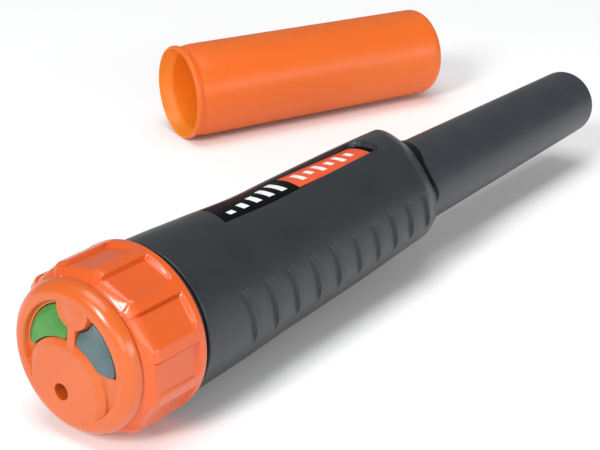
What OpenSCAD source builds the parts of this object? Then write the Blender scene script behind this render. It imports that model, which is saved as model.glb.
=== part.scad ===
/* [Overall] */
// Length from the butt face to the probe tip
total_len = 235; // [228:1:242]
// Height of the probe axis against the handle axis
probe_drop = -0.76; // [-1:0.02:0]
// Turn of the keypad layout about the handle axis
face_turn = 7.5; // [0:0.5:15]

/* [Handle] */
// Handle radius just in front of the ring
grip_r0 = 20.2; // [19.8:0.1:20.6]
// Handle radius where the raised upper part begins
grip_r1 = 18.3; // [18.1:0.1:18.6]
// Handle radius at the front of the hood
grip_r2 = 16.8; // [16.5:0.1:17.1]
// Station of the front of the handle's rear part
grip_x1 = 75; // [72:1:78]
// Station where the hood starts to round over
hood_x = 132; // [130:1:134]
// Length of the hood's rounded front
hood_nose = 8.6; // [7:0.2:9]
// Number of grip ribs on each side
ribs = 10; // [6:1:10]
// Pitch of the grip ribs
rib_pitch = 9.1; // [8:0.1:9.1]
// Height of the ribs over the handle
rib_h = 0.45; // [0.2:0.05:0.6]

/* [Label] */
// Direction of the label's middle, from up towards +Y
label_phi = 3.3; // [0:0.1:6]
// Half the angle that the label covers
label_w = 16.7; // [12:0.1:18]
// Front end of the label
label_x1 = 119; // [110:0.5:119.5]

/* [Ring] */
// Radius over the ridges of the ring
ring_r = 21.84; // [21.6:0.02:22.2]
// Rear edge of the ring
ring_x1 = 24.05; // [23.9:0.05:24.1]
// Number of finger pockets around the ring
pockets = 11; // [8:1:12]
// Distance from the axis to the flat floor of a pocket
pocket_r = 20.75; // [20.4:0.05:21]
// Width of a pocket's floor
pocket_w = 8.6; // [6:0.1:9]
// Direction of the first pocket's step, from up towards +Y
pocket_turn = 17.4; // [0:0.1:32]

/* [Keypad] */
// Largest radius of the butt plate
plate_r = 19.13; // [18.8:0.05:19.3]
// Depth of the crescent recess
recess_d = 1.4; // [1:0.1:1.6]
// Radius of the recess
recess_r = 14.5; // [14.2:0.1:14.8]
// Radius of the raised boss
boss_r = 11.5; // [11:0.1:11.8]
// Distance of the boss below the centre
boss_u = -7.8; // [-8:0.1:-7.5]
// Distance of the boss to the side of the centre
boss_w = -1; // [-1.2:0.1:0]
// Radius of the round island between the buttons
island_r = 4.9; // [4.4:0.1:5]
// Distance of the island above the centre
island_u = 13.4; // [13:0.1:13.8]
// Travel of each button
press = 0.8; // [0.5:0.05:0.9]
// Radius of the sound port
port_r = 2.15; // [1.6:0.05:2.3]

/* [Sleeve] */
// Length of the protective sleeve
sleeve_len = 102.4; // [98:0.2:104]
// Outer radius at the mouth of the sleeve
sleeve_r0 = 16.4; // [16.2:0.05:16.4]
// Outer radius near the closed end of the sleeve
sleeve_r1 = 15.75; // [15.5:0.05:15.8]
// Place of the sleeve's mouth along the handle axis
sleeve_x = 171.9; // [168:0.1:176]
// Place of the sleeve's mouth across the handle axis
sleeve_y = 118.4; // [115:0.1:122]
// Direction of the sleeve seen from above
sleeve_yaw = -22.86; // [-24:0.02:-21]

/* [Hidden] */
$fn = 72;
floor_z = -ring_r;
tilt = 1.876;
hood_len = hood_x - grip_x1;
tip_r = 10.37;
root_r = 12.62;
root_x = 118;
e = 0.01;

// turned solid about X from [station, radius] points
module rev(pts, a = 360) {
  rotate([0, 90, 0]) rotate_extrude(angle = a) polygon([for (p = pts) [p[1], p[0]]]);
}
// turned segment of half-width w centred on direction phi, measured from up towards +Y
module seg(pts, phi, w) {
  rotate([180 - phi - w, 0, 0]) rotate([0, 90, 0]) rotate_extrude(angle = 2 * w) polygon([for (p = pts) [p[1], p[0]]]);
}
// drawing in the butt plane (first axis to the right seen from behind, second up) pushed from x0 to x1
module face(x0, x1) {
  translate([x0, 0, 0]) rotate([face_turn, 0, 0]) rotate([90, 0, 90])
    linear_extrude(height = x1 - x0) mirror([1, 0]) children();
}
module at_face(w, u) { rotate([face_turn, 0, 0]) translate([0, -w, u]) children(); }
module rodx(x0, x1, r) { translate([x0, 0, 0]) rotate([0, 90, 0]) cylinder(r = r, h = x1 - x0); }
module boxx(x0, x1, y, z) { translate([x0, -y / 2, -z / 2]) cube([x1 - x0, y, z]); }

// plan of a button; s picks the side, g shrinks it all round
module button2d(s, g) {
  difference() {
    circle(r = 13.8 - g);
    translate([boss_w, boss_u]) circle(r = 12.7 + g);
    translate([0, island_u]) circle(r = 5.4 + g);
    translate([s > 0 ? -20 : -1.5 - g, -20]) square([21.5 + g, 40]);
    translate([-20, (s > 0 ? 0.8 : -0.9) - 20 + g]) square([40, 20]);
  }
}

// ---- housing ----
module body_tube() color([0.17, 0.18, 0.19]) difference() {
  rev([[10.45, 16.05], [10.45, 17.2], [10.85, 17.6], [25.9, 17.6], [25.9, 17.15], [66, 17.15], [120, 14.6], [120, 13.2],
       [118, 13.2], [70, 15.9], [66, 15.9], [66, 16.05]]);
}
module grip_shell() color([0.25, 0.27, 0.29]) difference() {
  union() {
    translate([0, 0, -0.3]) rev([[26, 16.8], [26, grip_r0 - 0.4], [26.4, grip_r0], [grip_x1 + 0.3, grip_r1], [grip_x1 + 0.3, 16.8]]);
    translate([grip_x1, 0, -0.3]) rotate([0, -tilt, 0])
      rev(concat([[0, 14], [0, grip_r1], [hood_len, grip_r2]],
        [for (t = [15:15:75]) [hood_len + hood_nose * sin(t), grip_r2 - 4.8 + 4.8 * cos(t)]], [[hood_len + hood_nose, 11.95]]));
    for (s = [-1, 1]) for (i = [0:ribs - 1]) let (x = 41 + rib_pitch * i, r = x < grip_x1 ? grip_r0 + (x - 26) * (grip_r1 - grip_r0) / (grip_x1 - 26) : grip_r1 + (x - grip_x1) * (grip_r2 - grip_r1) / hood_len)
      translate([x, 0, x < grip_x1 ? -0.3 : -0.3 + (x - grip_x1) * tan(tilt)])
        seg([[-0.55, r - 0.5], [-0.55, r], [-0.15, r + rib_h], [0.15, r + rib_h], [0.55, r], [0.55, r - 0.5]], s * 93, 22);
  }
  rev([[25, 0], [25, 17.17], [66, 17.17], [120.02, 14.62], [120.02, 13.82], [142, 13.82], [142, 0]]);
  translate([141, -24.5, -30]) cylinder(r = 14, h = 60);
  seg([[50.6, lab_r(50.6) - 0.37], [label_x1 + 0.3, lab_r(label_x1 + 0.3) - 0.37], [label_x1 + 2, 24], [50.6, 24]], label_phi, label_w + 0.4);
  translate([0, 0, 15.3]) rodx(119, 132.5, 1.62);
}
module probe_tube() color([0.22, 0.24, 0.26]) translate([0, 0, probe_drop]) difference() {
  rev(concat([[root_x + 2.1, 0], [root_x + 2.1, root_r]], [for (t = [0:15:90]) [total_len - 3 + 3 * sin(t), tip_r - 3 + 3 * cos(t)]], [[total_len, 0]]));
  rev([[root_x, 0], [root_x, root_r - 1.7], [229, tip_r - 1.5], [232, tip_r - 4.5], [232, 0]]);
}
module rear_seal() color([0.03, 0.03, 0.03])
  rev([[24.35, 17.62], [24.35, 19], [24.8, 19.5], [25.5, 19.5], [25.88, 19.2], [25.88, 17.62]]);
module led_window() color([0.05, 0.05, 0.06]) difference() {
  rev([[120.1, 12.2], [120.1, 13.78], [137.5, 13.78], [138.5, 13], [138.5, 11]]);
  translate([0, 0, probe_drop]) rev([[119, 0], [119, root_r + 0.03], [140, root_r - 0.35], [140, 0]]);
}
module torch_led() color([0.92, 0.94, 0.95]) translate([0, 0, 15.3]) {
  rodx(124, 130, 1.5);
  translate([130, 0, 0]) sphere(r = 1.5);
  for (s = [-1, 1]) translate([0, s * 0.75, 0]) rodx(120.2, 124.2, 0.25);
}
function lab_r(x) = 18.4 + (x - 50) * (16.9 - 18.4) / 67;
module label_sheet(x0, x1, lo, hi, phi, w) {
  seg([[x0, lab_r(x0) + lo], [x0, lab_r(x0) + hi], [x1, lab_r(x1) + hi], [x1, lab_r(x1) + lo]], phi, w);
}
module label_plate() color([0.03, 0.03, 0.035]) label_sheet(51, label_x1, -0.36, 0, label_phi, label_w);
module label_field() color([0.93, 0.38, 0.2]) label_sheet(82.6, 115.6, 0.005, 0.14, label_phi, 14.2);
// plain rising bars on the black part and a row of short bars on the coloured field
module label_marks() color([0.95, 0.95, 0.95]) {
  for (i = [0:4]) label_sheet(55 + 5.3 * i, 57.6 + 5.3 * i, 0.005, 0.14, label_phi, 3 + 2.2 * i);
  for (i = [0:5]) label_sheet(86.4 + 4.6 * i, 88.6 + 4.6 * i, 0.15, 0.24, label_phi, i % 2 == 0 ? 7.5 : 4.5);
}

// ---- inside the handle ----
module battery() color([0.12, 0.14, 0.2]) boxx(14.3, 60.3, 26.5, 17.5);
module battery_terminals() color([0.8, 0.8, 0.82]) {
  translate([0, -6.35, 0]) rodx(60.31, 62.8, 2.85);
  translate([0, 6.35, 0]) difference() { rodx(60.31, 62.6, 3.9); rodx(61, 63, 2.9); }
}
module snap_connector() color([0.06, 0.06, 0.06]) difference() {
  boxx(62.9, 65.9, 25.5, 13);
  translate([0, -6.35, 0]) rodx(62, 62.95, 3.2);
}
module battery_leads() color([0.75, 0.08, 0.06]) for (s = [-1, 1]) translate([0, s * 4, 7.6]) rodx(63.5, 76, 0.7);
module battery_bulkhead() color([0.1, 0.1, 0.1]) difference() {
  rodx(66.05, 68.6, 15.85);
  for (s = [-1, 1]) translate([0, s * 4, 7.6]) rodx(66, 69, 1);
  translate([0, 0, 13.6]) rodx(66, 69, 1.7);
}
module chassis() color([0.12, 0.12, 0.13]) difference() {
  rev([[68.7, 0], [68.7, 13.6], [112, 12.6], [124, 10.2], [150, 10.0], [150, 0]]);
  rev([[71, 0], [71, 12.2], [112, 11.3], [123, 8.9], [149, 8.7], [151, 8.7], [151, 0]]);
  translate([60, -20, -4.6]) cube([100, 40, 40]);
}
module main_board() color([0.05, 0.35, 0.16]) difference() {
  union() { boxx(72, 110, 22.5, 1.6); boxx(109.9, 146, 15, 1.6); }
  for (x = [75, 107]) for (s = [-1, 1]) translate([x, s * 8.6, -2]) cylinder(r = 0.9, h = 4);
}
module lift_board() { translate([0, 0, -3.75]) children(); }
module microcontroller() color([0.05, 0.05, 0.05]) translate([0, -4, 1.35]) boxx(80, 90, 10, 1);
module amplifier_chips() color([0.06, 0.06, 0.06]) { translate([0, 0, 1.55]) boxx(114, 119, 4, 1.4); translate([0, 0, 1.55]) boxx(124, 129, 4, 1.4); }
module capacitors() color([0.12, 0.15, 0.3]) for (i = [0:2]) translate([79.5 + 5.6 * i, 6.6, 0.85]) cylinder(r = 2.5, h = 6);
module board_plug() color([0.9, 0.88, 0.8]) translate([0, 0, 3.1]) boxx(135, 143, 7, 4.5);
module board_screws() color([0.7, 0.7, 0.72]) for (x = [75, 107]) for (s = [-1, 1]) translate([x, s * 8.6, -2.2]) {
  cylinder(r = 0.85, h = 3.1); translate([0, 0, 3.05]) cylinder(r = 1.6, h = 1);
}
module vibration_motor() color([0.78, 0.78, 0.8]) translate([0, 0, 6.4]) difference() { rodx(92, 103, 3); rodx(100, 104, 0.6); }
module motor_clip() color([0.1, 0.1, 0.1]) translate([0, 0, 6.4]) difference() {
  translate([0, 0, -3.9]) boxx(94, 101, 9, 6);
  rodx(93, 102, 3.02);
}
module motor_weight() color([0.55, 0.55, 0.5]) translate([0, 0, 6.4]) {
  rodx(100.1, 108, 0.5);
  difference() { rodx(104, 107.5, 2.8); rodx(103.9, 108, 0.45); translate([103, -4, 0.9]) cube([6, 8, 4]); }
}
// ---- probe coils ----
module on_probe() { translate([0, 0, probe_drop]) children(); }
module coil_former() color([0.85, 0.83, 0.75]) on_probe() difference() {
  rev([[152, 0], [152, 8], [154, 8], [154, 6.2], [186, 6.2], [186, 8], [188, 8], [188, 6.2], [224, 6.2], [224, 7.8], [226, 7.8], [226, 0]]);
  rodx(151, 227, 5.05);
}
module ferrite_rod() color([0.14, 0.13, 0.13]) on_probe() rodx(152.5, 225.8, 5);
module coil_ring(x0, x1) on_probe() difference() { rodx(x0, x1, 7.5); rodx(x0 - 1, x1 + 1, 6.21); }
module transmit_coil() color([0.72, 0.38, 0.16]) coil_ring(154.1, 185.9);
module receive_coil() color([0.76, 0.44, 0.2]) coil_ring(188.1, 223.9);
module coil_leads() color([0.8, 0.5, 0.2]) for (i = [-1:1]) translate([0, i * 2, -0.6]) rodx(143.05, 151.9, 0.45);
module tip_pad() color([0.2, 0.2, 0.2]) on_probe() rodx(226.1, 231.9, 5.6);
module keypad_leads() color([0.1, 0.1, 0.1]) translate([0, 0, 13.6]) rodx(10.3, 78, 1.2);

// ---- end cap ----
module end_plate() color([0.91, 0.39, 0.18]) difference() {
  union() {
    rev([[0, 0], [0, plate_r - 2.9], [0.1, plate_r - 1.9], [0.32, plate_r - 1.15], [0.75, plate_r - 0.5], [1.5, plate_r - 0.08], [2.2, plate_r],
      [4, plate_r], [4.3, plate_r - 0.4], [4.3, 16.5], [7.6, 16.5], [7.6, 15.2], [3.2, 15.2], [3.2, 0]]);
    screw_place() rodx(3.1, 7.6, 1.5);
  }
  face(-1, recess_d) difference() {
    circle(r = recess_r);
    translate([boss_w, boss_u]) circle(r = boss_r);
    translate([0, island_u]) circle(r = island_r);
    translate([-1.1, 0]) square([2.2, 14]);
  }
  face(-1, 3.3) button2d(1, -0.25);
  face(-1, 3.3) button2d(-1, -0.25);
  port_place() rodx(-1, 4, port_r);
  screw_place() rodx(4.1, 8, 0.72);
}
module port_place() at_face(-2, -9.3) children();
module screw_place() for (a = [0, 120, 240]) rotate([a + face_turn, 0, 0]) translate([0, 0, 14.1]) children();
module cap_carrier() color([0.08, 0.08, 0.09]) difference() {
  rev([[8.75, 0], [8.75, 13.2], [7.65, 13.2], [7.65, 17.35], [8.9, 17.35], [8.9, 15.75], [13.6, 15.75], [13.6, 15.1], [9.6, 15.1], [9.6, 0]]);
  screw_place() rodx(7, 10, 0.72);
  translate([0, 3, 11]) rodx(7, 10, 1.4);
}
module cap_oring() color([0.03, 0.03, 0.03]) rev([[9.0, 15.8], [9.0, 17.3], [10.4, 17.3], [10.4, 16.4], [9.9, 15.8]]);
module keypad_board() color([0.05, 0.35, 0.16]) difference() {
  rodx(7.7, 8.7, 12.4);
  translate([0, 3, 11]) rodx(7, 10, 1.4);
}
module sw_at(s) { at_face(s * 7.6, 7.0) children(); }
module tact() difference() { boxx(5.2, 7.65, 5, 5); rodx(5, 6.6, 1.35); }
module green_switch() color([0.1, 0.1, 0.1]) sw_at(-1) tact();
module grey_switch() color([0.1, 0.1, 0.1]) sw_at(1) tact();
module speaker() color([0.12, 0.12, 0.12]) at_face(-1.1, -6.6) difference() { rodx(3.7, 7.6, 7.9); rodx(3.6, 4.2, 6.8); }
module port_mesh() color([0.25, 0.25, 0.27]) port_place() rodx(3.25, 3.65, 3);
module carrier_screws() color([0.7, 0.7, 0.72]) screw_place() { rodx(4.2, 9.65, 0.7); rodx(9.6, 10.3, 1); }
// ---- ring ----
module cap_ring() color([0.91, 0.39, 0.18]) difference() {
  rev([[4.5, 16.56], [4.5, 19.6], [5.4, 21.3], [6.4, ring_r], [ring_x1 - 0.7, ring_r], [ring_x1, ring_r - 0.7], [ring_x1, 17.66], [7.4, 17.66], [7.4, 16.56]]);
  for (i = [0:pockets - 1]) rotate([asin(pocket_w / 2 / (ring_r - 0.7)) - pocket_turn + i * 360 / pockets, 0, 0])
    translate([0, pocket_w / 2, 0]) rotate([90, 0, 0]) linear_extrude(height = pocket_w)
      polygon([[3, 16.7], [7.2, pocket_r], [21.3, pocket_r], [21.3, 25], [3, 25]]);
}
// ---- buttons and what they press ----
module push_button(s) {
  face(0.35, 3.35) button2d(s, 0);
  face(3.34, 4.1) button2d(s, -0.75);
}
module green_button() color([0.36, 0.7, 0.34]) push_button(-1);
module grey_button() color([0.36, 0.48, 0.5]) push_button(1);
module plunger() rodx(4.15, 5.75, 1.3);
module green_plunger() color([0.85, 0.85, 0.82]) sw_at(-1) plunger();
module grey_plunger() color([0.85, 0.85, 0.82]) sw_at(1) plunger();

// ---- protective sleeve ----
module protective_sleeve() color([0.93, 0.44, 0.16]) translate([sleeve_x, sleeve_y, floor_z + sleeve_r0]) rotate([0, 0, sleeve_yaw]) difference() {
  rev(concat([[0, 0], [0, sleeve_r0 - 1.2], [0.4, sleeve_r0 - 0.4], [1.2, sleeve_r0], [7, sleeve_r0], [8, sleeve_r0 - 0.25]],
    [for (t = [0:15:90]) [sleeve_len - 4.5 + 4.5 * sin(t), sleeve_r1 - 4.5 + 4.5 * cos(t)]], [[sleeve_len, 0]]));
  rev([[-1, 0], [-1, 15.2], [0.6, 14.6], [3, 13.7], [14, 13.4], [sleeve_len - 7, 11.6], [sleeve_len - 4, 8.6], [sleeve_len - 4, 0]]);
}

body_tube();
grip_shell();
probe_tube();
rear_seal();
led_window();
torch_led();
label_plate();
label_field();
label_marks();
battery();
battery_terminals();
snap_connector();
battery_leads();
battery_bulkhead();
chassis();
lift_board() main_board();
lift_board() microcontroller();
lift_board() amplifier_chips();
lift_board() capacitors();
lift_board() board_plug();
lift_board() board_screws();
vibration_motor();
motor_clip();
motor_weight();
coil_former();
ferrite_rod();
transmit_coil();
receive_coil();
coil_leads();
tip_pad();
keypad_leads();
end_plate();
cap_carrier();
cap_oring();
keypad_board();
green_switch();
grey_switch();
speaker();
port_mesh();
carrier_screws();
cap_ring();
green_button();
grey_button();
green_plunger();
grey_plunger();
protective_sleeve();
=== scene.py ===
import math

import bpy
import numpy as np
from mathutils import Matrix, Vector


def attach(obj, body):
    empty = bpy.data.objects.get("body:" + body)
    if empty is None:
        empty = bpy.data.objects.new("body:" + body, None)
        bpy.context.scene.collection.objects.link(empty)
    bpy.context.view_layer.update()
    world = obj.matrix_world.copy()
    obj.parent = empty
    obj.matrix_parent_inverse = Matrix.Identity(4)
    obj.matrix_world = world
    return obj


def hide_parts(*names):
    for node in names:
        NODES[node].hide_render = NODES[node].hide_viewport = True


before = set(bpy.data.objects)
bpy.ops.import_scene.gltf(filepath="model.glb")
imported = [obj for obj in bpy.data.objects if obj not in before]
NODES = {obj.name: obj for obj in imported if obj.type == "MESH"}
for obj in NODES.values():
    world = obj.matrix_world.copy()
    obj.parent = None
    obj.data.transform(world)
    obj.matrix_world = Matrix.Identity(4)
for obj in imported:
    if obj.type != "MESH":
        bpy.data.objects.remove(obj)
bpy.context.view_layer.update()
MM = 0.001
rad, deg = np.radians, np.degrees


# ------------------------------------------------------------------ mesh tools
def smooth(t):
    t = np.clip(t, 0.0, 1.0)
    return t * t * (3.0 - 2.0 * t)


def ramp(t):
    return np.clip(t, 0.0, 1.0)


def pchip(xs, ys, x):
    """monotone cubic through (xs, ys)"""
    xs, ys, x = (np.asarray(v, float) for v in (xs, ys, x))
    h = np.diff(xs)
    d = np.diff(ys) / h
    m = np.zeros_like(ys)
    m[0], m[-1] = d[0], d[-1]
    a, b = d[:-1], d[1:]
    w1, w2 = 2 * h[1:] + h[:-1], h[1:] + 2 * h[:-1]
    same = (a * b) > 0
    with np.errstate(divide="ignore", invalid="ignore"):
        inner = (w1 + w2) / (w1 / a + w2 / b)
    m[1:-1] = np.where(same, inner, 0.0)
    x = np.clip(x, xs[0], xs[-1])
    i = np.clip(np.searchsorted(xs, x, side="right") - 1, 0, len(xs) - 2)
    t = (x - xs[i]) / h[i]
    h00, h10 = 2 * t**3 - 3 * t**2 + 1, t**3 - 2 * t**2 + t
    h01, h11 = -2 * t**3 + 3 * t**2, t**3 - t**2
    return h00 * ys[i] + h10 * h[i] * m[i] + h01 * ys[i + 1] + h11 * h[i] * m[i + 1]


def around(table, phi):
    """value at angle phi in degrees from a table {angle: value}, closed round the axis"""
    k = sorted(table)
    xs = [k[-2] - 360, k[-1] - 360] + k + [k[0] + 360, k[1] + 360]
    ys = [table[k[-2]], table[k[-1]]] + [table[a] for a in k] + [table[k[0]], table[k[1]]]
    return pchip(xs, ys, (np.asarray(phi, float) + 180) % 360 - 180)


def stations(*parts):
    """(end, step) parts after a start value"""
    out = [parts[0]]
    for end, step in parts[1:]:
        n = max(1, int(round((end - out[-1]) / step)))
        out += list(np.linspace(out[-1], end, n + 1)[1:])
    return np.array(out)


def build(name, V, polys, angle=35):
    """mesh object from points in millimetres and a list of arrays of faces (each n x k)"""
    V = np.ascontiguousarray(np.asarray(V, float).reshape(-1, 3)) * MM
    polys = [np.asarray(p, np.int64).reshape(-1, p.shape[-1]) for p in polys if len(p)]
    vol = 0.0
    for p in polys:
        for k in range(1, p.shape[1] - 1):
            a, b, c = V[p[:, 0]], V[p[:, k]], V[p[:, k + 1]]
            vol += float(np.einsum("ij,ij->i", a, np.cross(b, c)).sum())
    if vol < 0:
        polys = [p[:, ::-1] for p in polys]
    me = bpy.data.meshes.new(name)
    me.vertices.add(len(V))
    me.vertices.foreach_set("co", V.ravel())
    loops = np.concatenate([p.ravel() for p in polys])
    counts = np.concatenate([np.full(len(p), p.shape[1]) for p in polys])
    starts = np.concatenate([[0], np.cumsum(counts)[:-1]])
    me.loops.add(len(loops))
    me.loops.foreach_set("vertex_index", loops.astype(np.int32))
    me.polygons.add(len(counts))
    me.polygons.foreach_set("loop_start", starts.astype(np.int32))
    me.update(calc_edges=True)
    me.validate()
    me.polygons.foreach_set("use_smooth", np.ones(len(me.polygons), bool))
    me.set_sharp_from_angle(angle=math.radians(angle))
    ob = bpy.data.objects.new(name, me)
    bpy.context.scene.collection.objects.link(ob)
    return ob


def grid_faces(n, m, wrap_rows=False, wrap_cols=True, base=0):
    i = np.arange(n if wrap_rows else n - 1)
    j = np.arange(m if wrap_cols else m - 1)
    I, J = np.meshgrid(i, j, indexing="ij")
    I2, J2 = (I + 1) % n, (J + 1) % m
    f = np.stack([I * m + J, I * m + J2, I2 * m + J2, I2 * m + J], -1).reshape(-1, 4)
    return f + base


def fan(row, centre, m, base=0):
    j = np.arange(m)
    return np.stack([np.full(m, centre), base + row * m + j, base + row * m + (j + 1) % m], -1)


def loop_solid(name, P, angle=35):
    """closed ring-shaped solid: P is (profile points, angles, 3), closed both ways"""
    n, m = P.shape[:2]
    return build(name, P, [grid_faces(n, m, wrap_rows=True)], angle)


def capped_solid(name, P, p0, p1, angle=35):
    """solid with a point at each end of the profile"""
    n, m = P.shape[:2]
    V = np.concatenate([P.reshape(-1, 3), [p0, p1]])
    return build(name, V, [grid_faces(n, m), fan(0, n * m, m)[:, ::-1], fan(n - 1, n * m + 1, m)], angle)


def lathe_points(profile, phis, z0=0.0):
    x = np.array([p[0] for p in profile])[:, None]
    r = np.array([p[1] for p in profile])[:, None]
    f = rad(phis)[None, :]
    return np.stack([x + 0 * f, r * np.sin(f), r * np.cos(f) + z0], -1)


def arc(cx, cr, radius, a0, a1, n, ex=1.0):
    """profile points on a circle about (cx, cr); angle 0 points along +x, 90 outwards"""
    return [(cx + ex * radius * math.cos(math.radians(a)), cr + radius * math.sin(math.radians(a))) for a in np.linspace(a0, a1, n)]


# ------------------------------------------------------------------ materials
def srgb(r, g, b):
    out = []
    for v in (r, g, b):
        v /= 255.0
        out.append(v / 12.92 if v <= 0.04045 else ((v + 0.055) / 1.055) ** 2.4)
    return (*out, 1.0)


def plastic(name, col, col2, rough=(0.35, 0.45), mottle=70, grain=1500, bump=0.1, depth=0.00004, specular=0.5,
            metallic=0.0, coat=0.0, coat_rough=0.1, scatter=0.0, scatter_mm=2.0, ior=1.5, transmission=0.0, stretch=None, detail=3.0):
    """moulded plastic, rubber, metal: two close colours in soft clouds, varied roughness, fine grain relief"""
    m = bpy.data.materials.new(name)
    m.use_nodes = True
    nt = m.node_tree
    n, l = nt.nodes, nt.links
    bsdf = n["Principled BSDF"]
    tc = n.new("ShaderNodeTexCoord")
    vec = tc.outputs["Object"]
    if stretch:
        mp = n.new("ShaderNodeMapping")
        mp.inputs["Scale"].default_value = stretch
        l.new(vec, mp.inputs["Vector"])
        vec = mp.outputs["Vector"]
    n1 = n.new("ShaderNodeTexNoise")
    n1.inputs["Scale"].default_value = mottle
    n1.inputs["Detail"].default_value = 4.0
    l.new(vec, n1.inputs["Vector"])
    cr = n.new("ShaderNodeValToRGB")
    cr.color_ramp.elements[0].position, cr.color_ramp.elements[1].position = 0.32, 0.68
    cr.color_ramp.elements[0].color, cr.color_ramp.elements[1].color = col, col2
    l.new(n1.outputs["Fac"], cr.inputs["Fac"])
    l.new(cr.outputs["Color"], bsdf.inputs["Base Color"])
    n2 = n.new("ShaderNodeTexNoise")
    n2.inputs["Scale"].default_value = grain
    n2.inputs["Detail"].default_value = detail
    n2.inputs["Roughness"].default_value = 0.6
    l.new(tc.outputs["Object"], n2.inputs["Vector"])
    mr = n.new("ShaderNodeMapRange")
    mr.inputs["From Min"].default_value, mr.inputs["From Max"].default_value = 0.3, 0.7
    mr.inputs["To Min"].default_value, mr.inputs["To Max"].default_value = rough
    l.new(n2.outputs["Fac"], mr.inputs["Value"])
    l.new(mr.outputs["Result"], bsdf.inputs["Roughness"])
    bp = n.new("ShaderNodeBump")
    bp.inputs["Strength"].default_value = bump
    bp.inputs["Distance"].default_value = depth
    l.new(n2.outputs["Fac"], bp.inputs["Height"])
    l.new(bp.outputs["Normal"], bsdf.inputs["Normal"])
    bsdf.inputs["Specular IOR Level"].default_value = specular
    bsdf.inputs["IOR"].default_value = ior
    bsdf.inputs["Metallic"].default_value = metallic
    bsdf.inputs["Coat Weight"].default_value = coat
    bsdf.inputs["Coat Roughness"].default_value = coat_rough
    if scatter:
        bsdf.inputs["Subsurface Weight"].default_value = scatter
        bsdf.inputs["Subsurface Radius"].default_value = (1.0, 0.35, 0.12)
        bsdf.inputs["Subsurface Scale"].default_value = scatter_mm * MM
    if transmission:
        bsdf.inputs["Transmission Weight"].default_value = transmission
    return m


ORANGE = plastic("orange_moulding", srgb(206, 79, 13), srgb(210, 86, 17), (0.28, 0.36), mottle=45, grain=260, bump=0.02, depth=0.00003, coat=0.4, coat_rough=0.12)
CHARCOAL = plastic("charcoal_grip", srgb(30, 34, 37), srgb(36, 40, 43), (0.34, 0.44), mottle=120, grain=2600, bump=0.3, depth=0.00006, specular=0.5)
CHARCOAL_P = plastic("charcoal_probe", srgb(36, 41, 46), srgb(42, 47, 52), (0.34, 0.44), mottle=120, grain=3000, bump=0.2, depth=0.00005, specular=0.5)
BODY = plastic("charcoal_body", srgb(40, 43, 46), srgb(48, 51, 54), (0.4, 0.5), grain=2400, bump=0.2)
RUBBER = plastic("black_rubber", srgb(16, 16, 17), srgb(24, 24, 25), (0.45, 0.6), mottle=300, grain=3500, bump=0.3)
LENS = plastic("smoked_lens", srgb(7, 7, 9), srgb(13, 13, 15), (0.25, 0.34), mottle=90, grain=1400, bump=0.05, specular=0.08)
CLEAR = plastic("clear_lens", srgb(232, 238, 242), srgb(240, 244, 248), (0.08, 0.14), transmission=0.7, bump=0.02)
LABEL_K = plastic("label_black", srgb(3, 3, 5), srgb(7, 7, 9), (0.34, 0.42), mottle=200, grain=1800, bump=0.05, specular=0.04)
LABEL_O = plastic("label_orange", srgb(226, 84, 40), srgb(230, 92, 48), (0.36, 0.44), mottle=160, grain=1800, bump=0.05, specular=0.2)
LABEL_W = plastic("label_white", srgb(232, 234, 236), srgb(243, 244, 246), (0.34, 0.42), mottle=220, grain=1800, bump=0.05)
GREEN = plastic("green_key", srgb(56, 124, 46), srgb(68, 138, 57), (0.34, 0.46), mottle=160, grain=1700, bump=0.15)
GREY = plastic("grey_key", srgb(68, 90, 94), srgb(80, 104, 108), (0.34, 0.46), mottle=160, grain=1700, bump=0.15)
# butt plate: the ring's orange tinted yellower to stand in for light falling on the plate's face (painted light)
PLATE_O_LIT_TINT = plastic("plate_orange_painted_light", srgb(199, 85, 14), srgb(203, 91, 18), (0.28, 0.36), mottle=45, grain=260, bump=0.02, depth=0.00003, coat=0.4, coat_rough=0.12)
SLEEVE = plastic("sleeve_orange", srgb(218, 98, 12), srgb(222, 106, 18), (0.36, 0.46), mottle=30, grain=260, bump=0.03, depth=0.00004, scatter=0.7, scatter_mm=6.0, stretch=(0.4, 1, 1))
# sleeve inside: a lighter, yellower copy of the sleeve's own orange, standing in for light on the inner walls (painted
# light)
SLEEVE_IN_LIT = plastic("sleeve_orange_inside_painted_light", srgb(240, 132, 26), srgb(244, 140, 34), (0.36, 0.46), mottle=30, grain=260, bump=0.03, depth=0.00004, scatter=0.7, scatter_mm=6.0, stretch=(0.4, 1, 1))
STEEL = plastic("steel", srgb(188, 188, 192), srgb(205, 205, 210), (0.22, 0.36), metallic=1.0, mottle=300, grain=2600, bump=0.1)
COPPER = plastic("copper", srgb(184, 104, 52), srgb(204, 124, 66), (0.28, 0.4), metallic=1.0, mottle=500, grain=3000, bump=0.3)
NICKEL = plastic("nickel", srgb(200, 198, 190), srgb(214, 212, 205), (0.2, 0.32), metallic=1.0, mottle=300, grain=2600, bump=0.1)
BOARD = plastic("board_green", srgb(18, 92, 48), srgb(28, 108, 58), (0.3, 0.45), mottle=260, grain=900, bump=0.2)
CHIP = plastic("chip_black", srgb(20, 20, 22), srgb(30, 30, 32), (0.5, 0.65), grain=3600, bump=0.3)
CAPBLUE = plastic("capacitor_blue", srgb(34, 44, 84), srgb(42, 52, 96), (0.25, 0.35), grain=1500, bump=0.05)
IVORY = plastic("ivory_plastic", srgb(222, 216, 196), srgb(232, 227, 208), (0.4, 0.5), grain=1800, bump=0.15)
FERRITE = plastic("ferrite", srgb(44, 42, 42), srgb(56, 53, 52), (0.45, 0.6), mottle=400, grain=3200, bump=0.4)
BLACKP = plastic("black_plastic", srgb(24, 24, 26), srgb(33, 33, 35), (0.42, 0.55), grain=2400, bump=0.2)
MESHG = plastic("mesh_grey", srgb(60, 61, 64), srgb(76, 77, 80), (0.4, 0.55), mottle=900, grain=3600, bump=0.4, metallic=0.6)
BATT = plastic("battery_case", srgb(34, 38, 52), srgb(44, 48, 64), (0.25, 0.35), mottle=120, grain=1500, bump=0.05)
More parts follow.
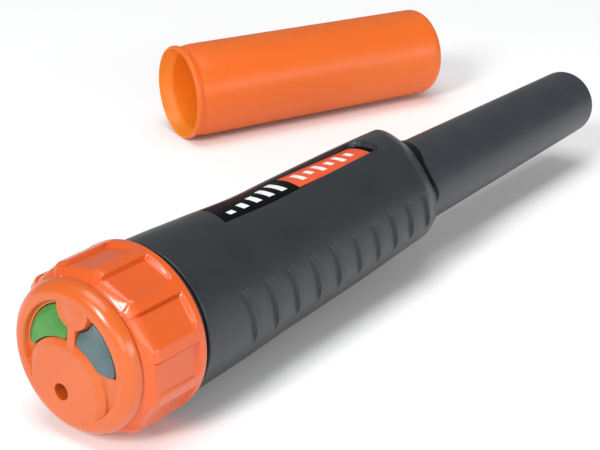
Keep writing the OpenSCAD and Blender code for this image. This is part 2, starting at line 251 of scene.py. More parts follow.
RED = plastic("wire_red", srgb(176, 22, 18), srgb(190, 30, 24), (0.35, 0.45), grain=1800, bump=0.1)
BLACKW = plastic("wire_black", srgb(20, 20, 20), srgb(28, 28, 28), (0.35, 0.45), grain=1800, bump=0.1)
BY_SLOT = {
    "charcoal_body": BODY, "charcoal_grip": CHARCOAL, "black_rubber": RUBBER, "smoked_lens": LENS, "clear_lens": CLEAR,
    "label_black": LABEL_K, "label_orange": LABEL_O, "label_white": LABEL_W, "battery_case": BATT, "nickel": NICKEL,
    "black_plastic": BLACKP, "wire_red": RED, "wire_black": BLACKW, "board_green": BOARD, "chip_black": CHIP,
    "capacitor_blue": CAPBLUE, "ivory_plastic": IVORY, "steel": STEEL, "ferrite": FERRITE, "copper": COPPER,
    "speaker_black": BLACKP, "mesh_grey": MESHG, "orange_plastic": ORANGE, "button_green": GREEN, "button_grey": GREY,
    "sleeve_orange": SLEEVE,
}
for nn, o_ in NODES.items():
    old = [m.name.split(".")[0] if m else "" for m in o_.data.materials]
    o_.data.materials.clear()
    o_.data.materials.append(BY_SLOT[old[0]])


def finish_piece(ob, material, body, slot, *nodes):
    ob.data.materials.clear()
    ob.data.materials.append(material)
    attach(ob, body)
    if nodes:
        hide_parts(*nodes)
    return ob


# ------------------------------------------------------------------ shared dimensions, mm
DROP = -0.76
RING_R = 21.84
TURN = math.radians(7.5)


def probe_r(x):
    return 12.62 + (np.asarray(x, float) - 118.0) * (10.37 - 12.62) / (235.0 - 118.0)


def lab_r(x):
    return 18.4 + (np.asarray(x, float) - 50.0) * (16.9 - 18.4) / 67.0


# ------------------------------------------------------------------ grip
GX = [20, 26, 35, 50, 70, 85, 100, 115, 127, 133, 146]
GR = [20.3, 20.25, 20.02, 19.41, 18.42, 18.2, 17.91, 17.44, 17.07, 16.75, 16.2]
GZ = [-0.4, -0.4, -0.4, -0.46, -0.45, -0.03, 0.40, 0.96, 1.28, 1.5, 1.8]
NOSE0 = {32: 133, 18: 130.5, 7: 127.5, -7: 125.2, -20: 124.2, -30: 123, -42: 122, -55: 122.3, -65: 123, -80: 123.5, -93: 123.5, -110: 125,
         -125: 128, -140: 131, 180: 133, 120: 133, 60: 133.5}
NOSE1 = {32: 142.5, 18: 140, 7: 137.5, -7: 135.5, -20: 133.8, -30: 132.6, -42: 131.8, -55: 131.4, -65: 131.7, -80: 132.7, -93: 133.5,
         -110: 135, -125: 136.4, -140: 137.5, 180: 139, 120: 141, 60: 142.8}
RIB_X = [40.8, 49.9, 59.2, 68.7, 77.7, 87.1, 96.0, 104.5, 112.7, 121.2]
LAB_C, LAB_H = 3.3, 16.85


def rib_height(x, phi):
    """raised lips on both sides, each followed by a shallow hollow; phi in degrees"""
    a = np.abs(phi)
    h = np.zeros(np.broadcast(x, phi).shape)
    for i, x0 in enumerate(RIB_X):
        top = 64.5 + i * 0.8
        t = x - x0 - 0.078 * (a - top)
        size = smooth((a - top) / 6.0) * (1 - smooth((a - 101.0) / 17.0))
        lip = smooth((t + 0.3) / 0.45) * (1 - smooth((t - 0.25) / (0.55 + 0.5 * smooth((a - top) / 20.0))))
        dip = smooth((t - 0.35) / 0.5) * (1 - smooth((t - 1.0) / 2.6))
        h += (0.8 * lip - 0.14 * dip) * size
    return h


def grip():
    fine = []
    for x0 in RIB_X:
        fine.append((x0 - 0.6, x0 + 5.6))
    fine += [(49.6, 55.6), (111.5, 121.5)]
    xs = [26.4]
    while xs[-1] < 124:
        x = xs[-1]
        near = any(a - 0.35 <= x <= b for a, b in fine)
        xs.append(x + (0.17 if near else 0.5))
    xs = np.array(xs)
    xs = xs[xs < 118]
    nose = np.linspace(118, 142, 110)
    U = np.concatenate([xs, nose])
    ph = [-180.0]
    while ph[-1] < 180:
        p = ph[-1]
        if abs(abs(p - LAB_C) - LAB_H) < 1.6:
            s = 0.22
        elif 60 < abs(p) < 122:
            s = 0.9
        elif abs(p) < 30:
            s = 1.0
        else:
            s = 1.6
        ph.append(p + s)
    ph = np.array(ph[:-1])
    if 180 - ph[-1] < 0.5:
        ph = ph[:-1]
    x0, x1 = around(NOSE0, ph), around(NOSE1, ph)
    u = U[:, None]
    X = np.where(u <= 118, u + 0 * x1[None, :], 118 + (u - 118) * (x1[None, :] - 118) / 24.0)
    F = rad(ph)[None, :]
    R, Z = pchip(GX, GR, X), pchip(GX, GZ, X)
    R = R + rib_height(X, ph[None, :] + 0 * X)
    by, bz = R * np.sin(F), R * np.cos(F) + Z
    # front: leaves the cone at x0, reaches the rim at x1
    t = ramp((X - x0[None, :]) / (x1 - x0)[None, :])
    drop = np.where(t > 0, t**1.45, 0.0)
    rimr = probe_r(x1)[None, :] + 1.15
    ry, rz = rimr * np.sin(F), rimr * np.cos(F) + DROP
    y, z = by + (ry - by) * drop, bz + (rz - bz) * drop
    # label recess
    hw = R * math.radians(LAB_H)
    s = R * rad(ph[None, :] - LAB_C)
    d_side = hw - np.abs(s)
    xn = 50.9 + (s + hw) / (2 * hw) * 3.4
    d_near = (X - xn) * 0.95
    d_far = 119.6 - X
    q1, q2 = np.maximum(3.6 - d_far, 0), np.maximum(3.6 - d_side, 0)
    d_far_side = np.where((q1 > 0) & (q2 > 0), 3.6 - np.hypot(q1, q2), np.minimum(d_far, d_side))
    wide = 0.3 + 1.4 * smooth((X - 113.5) / 4.5) * smooth((q1 - q2 + 1.0) / 2.5)
    k = smooth(np.minimum(d_near / 0.5, d_far_side / wide))
    k = np.where((np.abs(ph[None, :] - LAB_C) < 25) & (X < 122), k, 0)
    fl = lab_r(X) - 0.3
    fy, fz = fl * np.sin(F), fl * np.cos(F)
    y, z = y + (fy - y) * k, z + (fz - z) * k
    outer = np.stack([X, y, z], -1)
    rows = []
    # rear edge, rounded
    back = pchip(GX, GR, 26.0)
    for a in np.linspace(0, 90, 6):
        rr = back - 0.45 + 0.45 * math.sin(math.radians(a))
        xx = 26.45 - 0.45 * math.cos(math.radians(a))
        rows.append(np.stack([0 * F[0] + xx, rr * np.sin(F[0]), rr * np.cos(F[0]) + float(pchip(GX, GZ, 26.0))], -1))
    start = [np.stack([0 * F[0] + 26.0, 17.25 * np.sin(F[0]), 17.25 * np.cos(F[0])], -1)]
    # lip round to the inside and back along the bore
    lip = []
    po = probe_r(x1)
    for a in np.linspace(10, 170, 9):
        mid, half = po + 0.8, 0.35
        rr = mid + half * math.cos(math.radians(a))
        xx = x1 + 0.42 * math.sin(math.radians(a))
        lip.append(np.stack([xx, rr * np.sin(F[0]), rr * np.cos(F[0]) + DROP], -1))
    inner = []
    for xx, rr, zc in ((None, None, None), (121.3, None, DROP), (120.2, 14.7, 0.0), (66.0, 17.25, 0.0)):
        if xx is None:
            rr = po + 0.45
            inner.append(np.stack([x1 - 0.6, rr * np.sin(F[0]), rr * np.cos(F[0]) + DROP], -1))
        else:
            r_ = float(probe_r(xx)) + 0.45 if rr is None else rr
            inner.append(np.stack([0 * F[0] + xx, r_ * np.sin(F[0]), r_ * np.cos(F[0]) + zc], -1))
    P = np.concatenate([np.array(start), np.array(rows[:-1]), outer, np.array(lip), np.array(inner)])
    ob = loop_solid("grip_moulding", P, 38)
    return finish_piece(ob, CHARCOAL, "housing", "charcoal_grip", "grip_shell")


grip()


# ------------------------------------------------------------------ probe, window, neck
def probe():
    ph = np.linspace(-180, 180, 193)[:-1]
    prof = [(x, float(probe_r(x))) for x in np.linspace(120.1, 232, 90)]
    prof += [(232 + 3 * math.sin(math.radians(a)), 10.43 - 3 + 3 * math.cos(math.radians(a))) for a in np.linspace(6, 90, 16)]
    prof += [(235, r) for r in (6.6, 4.5, 2.2)]
    P = lathe_points(prof, ph, DROP)
    ob = capped_solid("probe_shaft", P, (120.1, 0, DROP), (235.0, 0, DROP), 40)
    return finish_piece(ob, CHARCOAL_P, "housing", "charcoal_body", "probe_tube")


probe()

def lamp():
    """short lamp that stays under the hood's skin"""
    ph = np.linspace(-180, 180, 49)[:-1]
    prof = [(120.4, 0.5), (120.4, 1.0), (120.5, 1.15), (120.6, 1.2)] + [(x, 1.2) for x in (121.5, 122.5, 123.5, 124.6)]
    prof += [(124.6 + 1.2 * math.sin(math.radians(a)), 1.2 * math.cos(math.radians(a))) for a in (12, 24, 36, 48, 60, 72, 84)]
    P = lathe_points(prof, ph, 14.6)
    ob = capped_solid("torch_lamp", P, (120.4, 0, 14.6), (125.8, 0, 14.6), 40)
    return finish_piece(ob, CLEAR, "housing", "clear_lens", "torch_led")


lamp()

WINDOW1 = {32: 144.2, 15: 142.2, -7: 139.7, -19: 138.4, -30: 136.7, -44: 135.0, -58: 134.7, -74: 135.8, -85: 136.6, -96: 135.6, -108: 134.6,
           -125: 135.9, -140: 137.0, 180: 138.5, 120: 142.0, 60: 144.6}


def window():
    ph = np.linspace(-180, 180, 241)[:-1]
    xw = around(WINDOW1, ph)
    F = rad(ph)
    rows = []

    def row(x, extra):
        r = probe_r(x) + extra
        rows.append(np.stack([x + 0 * F, r * np.sin(F), r * np.cos(F) + DROP], -1))

    for t in np.linspace(0, 1, 14):
        row(121.5 + (xw - 0.4 - 121.5) * t, 0.34)
    for a in (20, 45, 70, 90):
        s, c = math.sin(math.radians(a)), math.cos(math.radians(a))
        row(xw - 0.4 + 0.4 * s, 0.1 + 0.24 * c)
    for t in np.linspace(1, 0, 6):
        row(121.5 + (xw - 121.5) * t, 0.02)
    ob = loop_solid("lamp_window", np.array(rows), 40)
    return finish_piece(ob, LENS, "housing", "smoked_lens", "led_window")


window()

PITCH = 4.0


def thread(x, phi, centre, width):
    """ridge that winds with the ring's own screw motion; phi in degrees"""
    q = ((x + PITCH * phi / 360.0) / PITCH - centre) % 1.0
    q = np.minimum(q, 1 - q) * PITCH
    return 1 - smooth((q - width * 0.3) / (width * 0.35))


def neck():
    ph = np.linspace(-180, 180, 181)[:-1]
    F = rad(ph)[None, :]
    xs = stations(10.45, (24.2, 0.16))[:, None]
    mask = smooth((xs - 10.6) / 0.9) * (1 - smooth((xs - 23.0) / 0.9))
    r = 17.08 + 0.44 * thread(xs, ph[None, :], 0.25, 1.3) * mask
    parts = [np.stack([xs + 0 * F, r * np.sin(F), r * np.cos(F)], -1)]
    prof = [(24.25, 17.6), (25.9, 17.6), (25.95, 17.15), (66, 17.15), (120, 14.58), (120, 13.25), (118, 13.2), (70, 15.9), (66, 15.9), (65.9, 16.05), (10.5, 16.05)]
    parts.append(lathe_points(prof, ph))
    ob = loop_solid("threaded_neck", np.concatenate(parts), 40)
    return finish_piece(ob, BODY, "housing", "charcoal_body", "body_tube")


neck()


def seal():
    ph = np.linspace(-180, 180, 181)[:-1]
    prof = [(23.6, 17.62)] + [(24.1 - 0.5 * math.cos(math.radians(a)), 19.3 + 0.45 * math.sin(math.radians(a)) * 0.9) for a in (0, 30, 60, 90)]
    prof += [(25.4 + 0.45 * math.sin(math.radians(a)), 19.3 + 0.405 * math.cos(math.radians(a))) for a in (0, 30, 60, 90)]
    prof += [(25.85, 17.62)]
    ob = loop_solid("neck_seal", lathe_points(prof, ph), 40)
    return finish_piece(ob, RUBBER, "housing", "black_rubber", "rear_seal")


seal()


# ------------------------------------------------------------------ label
def sheet(name, x_lo, x_hi, a_lo, a_hi, lo, hi, nu, angles, round_far=0.0, slant=0.0):
    """thin curved plate on the label seat, closed; x_lo may slant by `slant` over its width; far corners rounded"""
    ph = np.asarray(angles, float)
    f = (ph - a_lo) / (a_hi - a_lo)
    xa = x_lo + slant * f
    s = 17.3 * rad(ph - (a_lo + a_hi) / 2)
    W = 17.3 * math.radians(a_hi - a_lo) / 2
    q = np.maximum(np.abs(s) - (W - round_far), 0) if round_far else 0 * s
    xb = x_hi - round_far + np.sqrt(np.maximum(round_far**2 - q**2, 0)) if round_far else x_hi + 0 * s
    t = np.linspace(0, 1, nu)[:, None]
    X = xa[None, :] + (xb - xa)[None, :] * t
    F = rad(ph)[None, :]

    def layer(h):
        r = lab_r(X) + h
        return np.stack([X, r * np.sin(F), r * np.cos(F)], -1)

    n, m = X.shape
    top, bottom = layer(hi), layer(lo)
    V = np.concatenate([top.reshape(-1, 3), bottom.reshape(-1, 3)])
    idx = np.arange(n * m).reshape(n, m)
    quads = [grid_faces(n, m, wrap_cols=False), grid_faces(n, m, wrap_cols=False, base=n * m)[:, ::-1]]
    edge = np.concatenate([idx[0, :], idx[1:, -1], idx[-1, -2::-1], idx[-2:0:-1, 0]])
    e2 = np.roll(edge, -1)
    quads.append(np.stack([edge, edge + n * m, e2 + n * m, e2], -1))
    return build(name, V, quads, 40)


def dense(a, b, n, edge=3):
    """angles from a to b, closer together at both ends"""
    t = np.linspace(-1, 1, n)
    t = np.sin(t * math.pi / 2)
    return a + (b - a) * (t + 1) / 2


def label():
    a0, a1 = LAB_C - LAB_H + 0.7, LAB_C + LAB_H - 0.7
    base = sheet("label_base", 51.4, 118.2, a0, a1, -0.27, 0.0, 60, dense(a0, a1, 61), round_far=2.6, slant=3.2)
    finish_piece(base, LABEL_K, "housing", "label_black", "label_plate")
    f0, f1 = LAB_C - 14.3, LAB_C + 14.3
    field = sheet("label_panel", 82.4, 115.7, f0, f1, 0.0, 0.05, 30, dense(f0, f1, 41), round_far=0.8, slant=1.4)
    finish_piece(field, LABEL_O, "housing", "label_orange", "label_field")
    parts = []

    def bar(x, long_, lo, hi, h0, h1):
        parts.append(sheet("bar", x, x + long_, LAB_C + lo, LAB_C + hi, h0, h1, 6, np.linspace(LAB_C + lo, LAB_C + hi, 14)))

    for i in range(5):
        bar(56.0 + 5.2 * i, 2.3, -9.6, -9.6 + 5.2 + 3.7 * i, 0.0, 0.05)
    for i in range(6):
        h = 7.4 if i % 2 == 0 else 4.4
        bar(86.6 + 4.5 * i, 1.9, -h, h, 0.05, 0.09)
    marks = join(parts, "label_print")
    finish_piece(marks, LABEL_W, "housing", "label_white", "label_marks")


def join(obs, name):
    V, faces, base = [], {}, 0
    for o in obs:
        me = o.data
        co = np.zeros(len(me.vertices) * 3)
        me.vertices.foreach_get("co", co)
        V.append(co.reshape(-1, 3) / MM)
        for p in me.polygons:
            faces.setdefault(len(p.vertices), []).append([v + base for v in p.vertices])
        base += len(me.vertices)
        bpy.data.objects.remove(o)
    return build(name, np.concatenate(V), [np.array(f) for f in faces.values()], 40)


label()


# ------------------------------------------------------------------ screw ring
STEP0, NPOCK = 17.4, 11
PERIOD = 360.0 / NPOCK


def ring():
    base = []
    for k in range(NPOCK):
        s = STEP0 - k * PERIOD
        offs = [0.0, -0.14, -0.28, -0.42, -0.6, -0.9, -1.4, -2.1] + list(np.arange(-3.2, -19.0, -1.5)) + list(np.arange(-19.4, -29.0, -0.5)) + list(np.arange(-29.6, -31.8, -0.8)) + [-32.1, -32.4, -32.6]
        base += [s + o for o in offs]
    ph = np.sort((np.array(base) + 180) % 360 - 180)
    F = rad(ph)[None, :]
    t = (STEP0 - ph) % PERIOD  # 0 just below a step, rising to PERIOD at the next one
    t = np.where(t > PERIOD - 1e-6, 0.0, t)[None, :]
    xs = stations(4.56, (9.4, 0.15), (19.2, 0.4), (21.9, 0.12), (22.7, 0.2))
    x = xs[:, None]
    r0 = pchip([4.5, 4.7, 5.3, 6.2, 7.0, 7.6, 8.2, 9.0, 24], [18.75, 19.25, 20.15, 21.1, 21.62, 21.79, RING_R, RING_R, RING_R], xs)[:, None]
    fx = pchip([4.5, 4.7, 5.3, 6.0, 6.6, 7.2, 8.0, 9.2, 11, 24], [18.6, 19.05, 19.75, 20.3, 20.58, 20.7, 20.74, 20.72, 20.68, 20.6], xs)[:, None]
    floor = fx / np.cos(rad(t - 9.0) * smooth((x - 4.5) / 2.5))
    floor = floor - 0.36 * np.exp(-(((t - 0.95) / 0.75) ** 2)) * smooth((x - 5.6) / 1.6)
    floor = np.minimum(floor, r0)
    end = 25.3 + 3.0 * (1 - smooth((x - 4.5) / 4.0))
    d_side = (end - t) * 0.381
    d_rear = 21.45 - x
    q1, q2 = np.maximum(2.1 - d_rear, 0), np.maximum(2.1 - d_side, 0)
    d = np.where((q1 > 0) & (q2 > 0), 2.1 - np.hypot(q1, q2), np.minimum(d_rear, d_side))
    k = smooth(d / 1.3) * smooth((t - 0.02) / 0.4)
    r = r0 - (r0 - floor) * k
    outer = np.stack([x + 0 * F, r * np.sin(F), r * np.cos(F)], -1)
    rear = [(22.75 + 0.6 * math.sin(math.radians(a)), RING_R - 0.6 + 0.6 * math.cos(math.radians(a))) for a in (8, 22, 38, 55, 72, 90)]
    prof = rear + [(23.35, 19.6), (23.35, 18.0), (23.1, 17.7)]
    xi = stations(-22.9, (-7.9, 0.2)) * -1
    mask = smooth((xi - 8.2) / 1.0) * (1 - smooth((xi - 21.7) / 1.0))
    ri = 17.66 - 0.36 * thread(xi[:, None], ph[None, :], 0.75, 1.2) * mask[:, None]
    inner = np.stack([xi[:, None] + 0 * F, ri * np.sin(F), ri * np.cos(F)], -1)
    tail = [(7.6, 17.66), (7.4, 17.5), (7.4, 16.65), (7.2, 16.56), (4.7, 16.56), (4.5, 16.7)]
    front = []
    for f in (0.45, 0.9, 1.0):
        rr = 16.9 + (r[0] - 0.06 - 16.9) * f
        front.append(np.stack([4.5 + 0 * F[0], rr * np.sin(F[0]), rr * np.cos(F[0])], -1))
    P = np.concatenate([outer, lathe_points(prof, ph), inner, lathe_points(tail, ph), np.array(front)])
    ob = loop_solid("screw_ring", P, 34)
    return finish_piece(ob, ORANGE, "cap_ring", "orange_plastic", "cap_ring")


ring()


# ------------------------------------------------------------------ butt plate
BOSS = (-1.0, -7.8)
ISLE = (0.0, 13.4)
PORT = (-2.0, -9.3, 2.15)


def to_world(w, u, x):
    y = -w * math.cos(TURN) - u * math.sin(TURN)
    z = -w * math.sin(TURN) + u * math.cos(TURN)
    return np.stack([x + 0 * y, y, z], -1)


def softmin(*v, k=0.25):
    v = np.stack(np.broadcast_arrays(*v))
    m = v.min(0)
    return m - k * np.log(np.exp(-(v - m[None]) / k).sum(0))


def key_field(w, u, g=0.0, side=1):
    """positive inside the plan of the key on one side (+1 is the grey one), shrunk by g"""
    r = np.hypot(w, u)
    rb = np.hypot(w - BOSS[0], u - BOSS[1])
    ri = np.hypot(w - ISLE[0], u - ISLE[1])
    low = 0.85 if side > 0 else -0.85
    top = 13.3 if side > 0 else 13.75
    return softmin(top - g - r, rb - 12.75 - g, ri - 5.45 - g, side * w - 1.55 - g, u - low - g, k=0.3)


def crest(t, e=0.006):
    """zero below t = 0, t above it, with a small round between"""
    return 0.5 * (t + np.sqrt(t * t + e))


def plate_depth(w, u):
    r = np.hypot(w, u)
    rb = np.hypot(w - BOSS[0], u - BOSS[1])
    ri = np.hypot(w - ISLE[0], u - ISLE[1])
    wall = 1.4 * smooth((15.05 - r) / 0.8)
    boss = 0.75 * np.minimum(crest((rb - 10.4) / 2.1), 1.0) + 0.65 * smooth((rb - 12.4) / 0.4)
    isle = 0.3 * smooth((ri - 0.6) / 2.6) - 0.16 * smooth((ri - 3.2) / 1.3) + 1.26 * smooth((ri - 4.75) / 0.45)
    web = 0.3 + 1.1 * smooth((np.abs(w) - 1.1) / 0.35)
    d = softmin(wall, boss, isle, web, k=0.06)
    return np.maximum(d, 0.0)


def plate():
    m = 540
    ang = np.linspace(0, 2 * math.pi, m + 1)[:-1]
    hole = lambda w, u: np.maximum(np.maximum(key_field(w, u, -0.22, 1), key_field(w, u, -0.22, -1)), PORT[2] - np.hypot(w - PORT[0], u - PORT[1]))
    rs = stations(0.17, (15.2, 0.1671), (15.95, 0.15))
    i_back = int(np.argmin(np.abs(rs - 15.2)))
    W, U = rs[:, None] * np.cos(ang)[None, :], rs[:, None] * np.sin(ang)[None, :]
    # move grid points that lie close to a hole's outline onto it
    on = np.zeros(W.shape, bool)
    for _ in range(3):
        h = hole(W, U)
        e = 1e-3
        gw, gu = (hole(W + e, U) - h) / e, (hole(W, U + e) - h) / e
        g2 = np.maximum(np.hypot(gw, gu), 0.3) ** 2
        if _ == 0:
            near = np.abs(h) < 0.1
            near[i_back - 1:] = False
        W = np.where(near, W - h * gw / g2, W)
        U = np.where(near, U - h * gu / g2, U)
    on = near
    D = plate_depth(W, U)
    hh = hole(W, U)
    D = D + 0.1 * smooth((0.14 + hh) / 0.14) * (hh > -0.14)
    front = to_world(W, U, D)
    n = len(rs)
    V = [front.reshape(-1, 3)]
    # rim: slightly crowned face turning over into the side, then the back
    rr = np.array([16.2, 16.5, 16.8, 17.1, 17.4, 17.65, 17.9, 18.12, 18.32, 18.5, 18.66, 18.8, 18.92, 19.01, 19.08, 19.12])
    prof = list(zip(pchip([15.95, 16.6, 17.2, 17.8, 18.3, 18.7, 18.95, 19.08, 19.13], [0, 0.07, 0.28, 0.66, 1.15, 1.75, 2.35, 2.9, 3.5], rr), rr))
    prof += [(3.55, 19.13), (4.05, 19.1), (4.28, 18.85), (4.3, 18.4), (4.3, 16.52), (7.5, 16.5), (7.6, 16.4), (7.6, 15.2), (3.25, 15.2)]
    side = []
    for x, r in prof:
        side.append(to_world(r * np.cos(ang), r * np.sin(ang), x))
    V.append(np.array(side).reshape(-1, 3))
    back_rows = i_back  # rows 0 .. i_back-1 repeat the front grid on the back face
    back = to_world(W[:back_rows], U[:back_rows], 3.2)
    V.append(back.reshape(-1, 3))
    c0 = sum(len(v) for v in V)
    V.append(np.array([to_world(np.array(0.0), np.array(0.0), float(plate_depth(np.array(0.0), np.array(0.0)))), to_world(np.array(0.0), np.array(0.0), 3.2)]))
    V = np.concatenate(V)
    off_side = n * m
    off_back = off_side + len(prof) * m
    # front and back faces as triangles where a hole's outline passes, so that it follows the moved points
    ins = hh > 1e-4

    def tri_rows(rows, base):
        I, J = np.meshgrid(np.arange(rows - 1), np.arange(m), indexing="ij")
        J2 = (J + 1) % m
        a, b, c, d = (I * m + J), (I * m + J2), ((I + 1) * m + J2), ((I + 1) * m + J)
        so = on.ravel()
        diag = so[b] & so[d] & ~(so[a] & so[c])
        t1 = np.where(diag[..., None], np.stack([a, b, d], -1), np.stack([a, b, c], -1))
        t2 = np.where(diag[..., None], np.stack([b, c, d], -1), np.stack([a, c, d], -1))
        touch = so[a] | so[b] | so[c] | so[d] | ins.ravel()[a]
        quads = np.stack([a, b, c, d], -1)[~touch]
        tris = np.concatenate([t1[touch], t2[touch]])
        w, u = W.ravel(), U.ravel()
        cw, cu = w[tris].mean(1), u[tris].mean(1)
        keep = hole(cw, cu) < 0
        return quads + base, tris[keep], tris[~keep]

    fq, ft, gone = tri_rows(n, 0)
    bq, bt, _ = tri_rows(back_rows, 0)
    # the outline of what was taken away, as directed edges, joins front to back
    e = np.concatenate([gone[:, [0, 1]], gone[:, [1, 2]], gone[:, [2, 0]]])
    key = {}
    for p, q in e.tolist():
        if (q, p) in key:
            del key[(q, p)]
        else:
            key[(p, q)] = 1
    walls = np.array([[p, q, q + off_back, p + off_back] for p, q in key])
    polys = [fq, ft, walls, (bq + off_back)[:, ::-1], (bt + off_back)[:, ::-1]]
    # front grid to side rows
    j = np.arange(m)
    j2 = (j + 1) % m
    polys.append(np.stack([(n - 1) * m + j, (n - 1) * m + j2, off_side + j2, off_side + j], -1))
    polys.append(grid_faces(len(prof), m, base=off_side))
    last = off_side + (len(prof) - 1) * m
    bl = off_back + (back_rows - 1) * m
    polys.append(np.stack([last + j, last + j2, bl + j2, bl + j], -1))
    polys.append(np.stack([np.full(m, c0), j2, j], -1))
    polys.append(np.stack([np.full(m, c0 + 1), off_back + j, off_back + j2], -1))
    ob = build("butt_plate", V, polys, 32)
    # the plate gets the yellower copy of the orange: painted light
    return finish_piece(ob, PLATE_O_LIT_TINT, "end_cap", "orange_plastic", "end_plate")


plate()


# ------------------------------------------------------------------ keys
def key_piece(sign, name, material, body, slot, node):
    P0 = (8.4, 5.6)
    m = 260
    ang = np.linspace(0, 2 * math.pi, m + 1)[:-1]
    cw, su = np.cos(ang), np.sin(ang)

    def edge(g):
        lo, hi = np.zeros(m), np.full(m, 16.0)
        # first crossing outwards: march, then halve
        ts = np.linspace(0, 16, 321)
        vals = key_field(sign * (P0[0] + ts[:, None] * cw), P0[1] + ts[:, None] * su, g, sign)
        first = np.argmax(vals < 0, axis=0)
        lo, hi = ts[first - 1], ts[first]
        for _ in range(30):
            mid = (lo + hi) / 2
            v = key_field(sign * (P0[0] + mid * cw), P0[1] + mid * su, g, sign)
            lo, hi = np.where(v > 0, mid, lo), np.where(v > 0, hi, mid)
        return (lo + hi) / 2

    rho = edge(0.0)
    f = np.concatenate([np.linspace(0.06, 0.62, 12), np.linspace(0.64, 1.0, 36)])
    w = P0[0] + rho[None, :] * f[:, None] * cw
    u = P0[1] + rho[None, :] * f[:, None] * su
    r = np.hypot(w, u)
    ri = np.hypot(w - ISLE[0], u - ISLE[1])
    # crisp but rounded crease, and a small radius all round the edge
    d = softmin(((13.3 if sign > 0 else 13.75) - r) / 1.5, (ri - 5.45) / 2.1, k=0.08)
    x = 0.3 + 0.85 * crest(1 - d, 0.003)
    ed = key_field(sign * w, u, 0.0, sign)
    x = x + 0.28 * (1 - np.sqrt(np.clip(1 - (1 - np.clip(ed / 0.32, 0, 1)) ** 2, 0, 1)))
    x = x + 0.05 * ((w - P0[0]) ** 2 + (u - P0[1]) ** 2) / 36.0
    V = [to_world(sign * w, u, x).reshape(-1, 3)]
    rows = len(f)
    low = []
    for xx, rr in ((2.0, rho), (3.36, rho), (3.36, edge(-0.7)), (4.1, edge(-0.7))):
        low.append(to_world(sign * (P0[0] + rr * cw), P0[1] + rr * su, xx))
    V.append(np.array(low).reshape(-1, 3))
    tot = rows + len(low)
    top = to_world(np.array(sign * P0[0]), np.array(P0[1]), 0.3)
    bot = to_world(np.array(sign * P0[0]), np.array(P0[1]), 4.1)
    V.append(np.array([top, bot]))
    V = np.concatenate(V)
    j = np.arange(m)
    j2 = (j + 1) % m
    polys = [grid_faces(tot, m), np.stack([np.full(m, tot * m), j2, j], -1), np.stack([np.full(m, tot * m + 1), (tot - 1) * m + j, (tot - 1) * m + j2], -1)]
    ob = build(name, V, polys, 40)
    return finish_piece(ob, material, body, slot, node)


key_piece(-1, "green_key", GREEN, "green_button", "button_green", "green_button")
key_piece(1, "grey_key", GREY, "grey_button", "button_grey", "grey_button")


# ------------------------------------------------------------------ protective sleeve
def sleeve():
    ph = np.linspace(-180, 180, 241)[:-1]
    L, r0, r1 = 102.4, 16.4, 15.75
    prof = arc(0.95, r0 - 0.95, 0.95, 180, 95, 10)
    prof += [(1.4, r0 - 0.01), (1.8, r0 - 0.1), (2.15, r0 - 0.3), (2.5, r0 - 0.52), (3.0, r0 - 0.66), (3.7, r0 - 0.68), (4.6, r0 - 0.54), (5.8, r0 - 0.34), (7.2, r0 - 0.23), (8.6, r0 - 0.21)]
    prof += [(x, (r0 - 0.2) + (r1 - r0 + 0.2) * (x - 8) / (L - 12.5)) for x in np.linspace(14, L - 5.5, 24)]
    prof += [(L - 4.5 + 4.5 * math.sin(math.radians(a)), r1 - 4.5 + 4.5 * math.cos(math.radians(a))) for a in np.linspace(0, 90, 20)]
    prof += [(L, 8.0), (L, 4.0), (L, 1.0)]
    inner = [(L - 4, 1.0), (L - 4, 6.0), (L - 4, 8.6), (L - 5.2, 10.6), (L - 7, 11.6), (60, 12.55), (20, 13.3), (5.2, 13.72), (4.6, 13.78), (4.1, 13.95), (3.6, 14.2),
             (2.0, 14.85), (1.0, 15.22), (0.5, 15.34), (0.22, 15.4), (0.05, 15.44)]
    P = lathe_points(prof, ph)
    Q = lathe_points(inner, ph)
    m = len(ph)
    n1, n2 = len(prof), len(inner)
    V = np.concatenate([P.reshape(-1, 3), [[L, 0, 0]], Q.reshape(-1, 3), [[L - 4, 0, 0]]])
    o2 = n1 * m + 1
    j = np.arange(m)
    j2 = (j + 1) % m
    polys = [grid_faces(n1, m), np.stack([np.full(m, n1 * m), (n1 - 1) * m + j, (n1 - 1) * m + j2], -1),
             grid_faces(n2, m, base=o2), np.stack([np.full(m, o2 + n2 * m), o2 + j2, o2 + j], -1),
             np.stack([o2 + (n2 - 1) * m + j, o2 + (n2 - 1) * m + j2, j2, j], -1)]
    a = math.radians(-22.86)
    c, s = math.cos(a), math.sin(a)
    V = np.stack([171.9 + c * V[:, 0] - s * V[:, 1], 118.4 + s * V[:, 0] + c * V[:, 1], V[:, 2] - RING_R + r0], -1)
    ob = build("cover_sleeve", V, polys, 40)
    done = finish_piece(ob, SLEEVE, "sleeve", "sleeve_orange", "protective_sleeve")
    # inner faces get the lighter copy of the orange: painted light
    ob.data.materials.append(SLEEVE_IN_LIT)
    slot = len(ob.data.materials) - 1
    for p in ob.data.polygons:
        if min(p.vertices) >= o2:
            p.material_index = slot
    return done


sleeve()


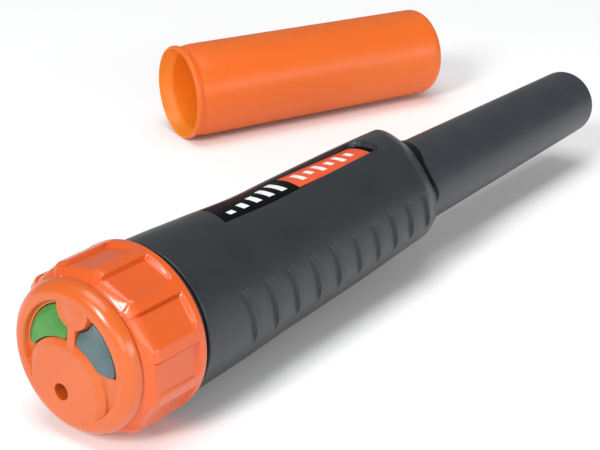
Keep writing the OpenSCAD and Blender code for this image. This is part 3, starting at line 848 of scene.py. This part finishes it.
# ------------------------------------------------------------------ stage
def stage():
    me = bpy.data.meshes.new("floor")
    z = -RING_R * MM - 0.00002
    s = 6.0
    me.from_pydata([(-s, -s, z), (s, -s, z), (s, s, z), (-s, s, z)], [], [(0, 1, 2, 3)])
    fl = bpy.data.objects.new("floor", me)
    bpy.context.scene.collection.objects.link(fl)
    fm = plastic("floor_paper", srgb(252, 252, 252), srgb(254, 254, 254), (0.85, 0.95), mottle=3, grain=400, bump=0.02, specular=0.1)
    me.materials.append(fm)
    w = bpy.data.worlds.new("studio")
    bpy.context.scene.world = w
    w.use_nodes = True
    bg = w.node_tree.nodes["Background"]
    bg.inputs["Color"].default_value = (0.96, 0.98, 1.0, 1)
    bg.inputs["Strength"].default_value = 0.34

    def area(name, loc, target, size, size_y, energy, color=(1, 1, 1)):
        li = bpy.data.lights.new(name, "AREA")
        li.shape = "RECTANGLE"
        li.size, li.size_y, li.energy, li.color = size, size_y, energy, color
        ob = bpy.data.objects.new(name, li)
        bpy.context.scene.collection.objects.link(ob)
        ob.location = loc
        d = (Vector(target) - Vector(loc)).normalized()
        ob.rotation_euler = d.to_track_quat("-Z", "Y").to_euler()
        return ob

    c = (0.12, 0.02, 0.0)
    area("overhead", (-0.05, 0.0, 1.4), c, 0.9, 0.9, 9)
    area("front", (-0.95, -1.1, 0.5), c, 0.9, 0.6, 5)
    area("side", (0.25, -1.5, 0.36), c, 1.3, 0.4, 7.5)
    area("left", (-1.2, -0.1, 0.85), c, 0.32, 0.5, 15)

    cam = bpy.data.cameras.new("camera")
    cam.lens, cam.sensor_width, cam.sensor_fit = 96.0, 36.0, "HORIZONTAL"
    cam.clip_start, cam.clip_end = 0.01, 20
    co = bpy.data.objects.new("camera", cam)
    bpy.context.scene.collection.objects.link(co)
    fwd = Vector((0.73026425, 0.55735026, -0.39506305)).normalized()
    right = Vector((0.606707, -0.794925, 0.0)).normalized()
    up = right.cross(fwd).normalized()
    mtx = Matrix((right, up, -fwd)).transposed().to_4x4()
    mtx.translation = Vector((-0.2247916, -0.2379936, 0.1728890))
    co.matrix_world = mtx
    bpy.context.scene.camera = co
    bpy.context.scene.view_settings.view_transform = "Standard"


stage()
bpy.context.view_layer.update()
